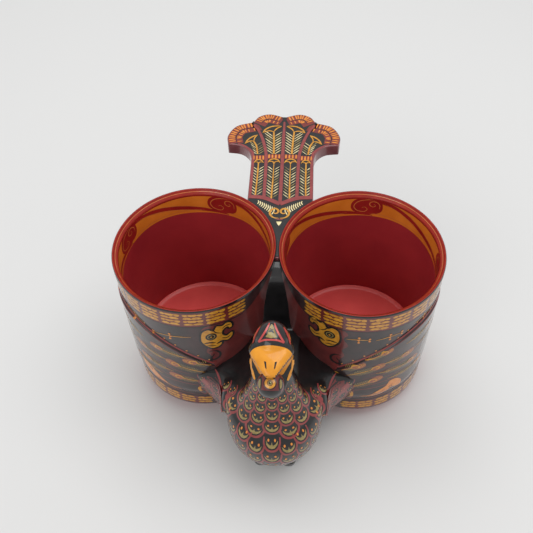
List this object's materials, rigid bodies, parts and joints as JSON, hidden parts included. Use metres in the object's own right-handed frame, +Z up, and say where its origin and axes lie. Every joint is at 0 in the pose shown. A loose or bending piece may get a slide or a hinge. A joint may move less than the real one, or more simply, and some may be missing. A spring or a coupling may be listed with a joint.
{
  "type": "lacquered phoenix twin cup",
  "caption": "Two round lacquered wooden cups side by side, joined by a carved bird in front and its fan tail behind, for drinking or display.",
  "frame": {"origin": "on the table, under the middle of the box round the object", "axes": "+Z up, the bird looks along -Y, its tail points along +Y, and the two cups stand side by side along X"},
  "size_m": [0.1428, 0.1616, 0.092],
  "materials": {
    "black_lacquer": "glossy black lacquer over wood, painted with red-brown, gold, orange and olive patterns",
    "red_lacquer": "crimson lacquer over wood, softer gloss",
    "pearl_lacquer": "glossy red-brown lacquer with a gold ring",
    "bamboo": "plain bamboo, unseen once glued in"
  },
  "bodies": {
    "root": {"left_cup_wall": "black_lacquer", "right_cup_wall": "black_lacquer", "left_cup_floor": "red_lacquer", "right_cup_floor": "red_lacquer", "connecting_tube": "bamboo", "bird_body": "black_lacquer", "bird_head": "black_lacquer", "neck_dowel": "bamboo", "beak_pearl": "pearl_lacquer", "left_wing": "black_lacquer", "right_wing": "black_lacquer", "tail_fan": "black_lacquer", "left_front_foot": "black_lacquer", "right_front_foot": "black_lacquer", "left_rear_foot": "black_lacquer", "right_rear_foot": "black_lacquer", "left_front_foot_peg": "bamboo", "right_front_foot_peg": "bamboo", "left_rear_foot_peg": "bamboo", "right_rear_foot_peg": "bamboo"}
  },
  "joints": []
}
